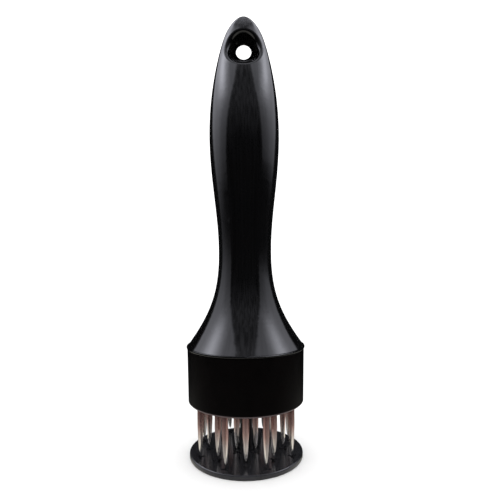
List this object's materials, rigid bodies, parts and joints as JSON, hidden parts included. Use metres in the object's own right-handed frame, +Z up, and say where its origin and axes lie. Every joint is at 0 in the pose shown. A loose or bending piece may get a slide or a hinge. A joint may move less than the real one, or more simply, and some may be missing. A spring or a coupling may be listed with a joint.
{
  "type": "blade meat tenderizer",
  "caption": "Hand meat tenderizer: a glossy spindle handle with a hanging hole over a collar of three-edged blades, with a sprung round guard plate that rises over them.",
  "frame": {"origin": "centre of the guard plate's underside, which the tool stands on", "axes": "+Z up along the tool's axis, +Y along the hanging hole towards the back, +X to the right"},
  "size_m": [0.0528, 0.0526, 0.1967],
  "materials": {
    "handle_gloss": "glossy black moulded plastic",
    "base_plastic": "satin black moulded plastic",
    "bush_plastic": "natural acetal",
    "blade_steel": "polished stainless steel with ground edges",
    "zinc_steel": "bright zinc-plated steel",
    "spring_steel": "drawn spring wire"
  },
  "bodies": {
    "tool_body": {"handle": "handle_gloss", "collar": "base_plastic", "blade_carrier": "base_plastic", "blade_clamp": "zinc_steel", "clamp_screws": "zinc_steel", "guide_bush": "bush_plastic", "return_spring": "spring_steel", "spring_washer": "zinc_steel", "blade_outer_1": "blade_steel", "blade_outer_2": "blade_steel", "blade_outer_3": "blade_steel", "blade_outer_4": "blade_steel", "blade_outer_5": "blade_steel", "blade_outer_6": "blade_steel", "blade_outer_7": "blade_steel", "blade_outer_8": "blade_steel", "blade_middle_1": "blade_steel", "blade_middle_2": "blade_steel", "blade_middle_3": "blade_steel", "blade_middle_4": "blade_steel", "blade_middle_5": "blade_steel", "blade_middle_6": "blade_steel", "blade_middle_7": "blade_steel", "blade_middle_8": "blade_steel", "blade_inner_1": "blade_steel", "blade_inner_2": "blade_steel", "blade_inner_3": "blade_steel", "blade_inner_4": "blade_steel"},
    "guard": {"guard_plate": "base_plastic", "guide_post": "base_plastic", "stop_disc": "zinc_steel", "stop_screw": "zinc_steel", "plate_screw": "zinc_steel"}
  },
  "joints": [
    {"name": "guard_slide", "type": "slide", "parent": "tool_body", "child": "guard", "axis": [0, 0, 1], "range_m": [0, 0.022], "stiffness_N_per_m": 410, "springref_m": -0.018, "deforming": ["return_spring"]}
  ]
}
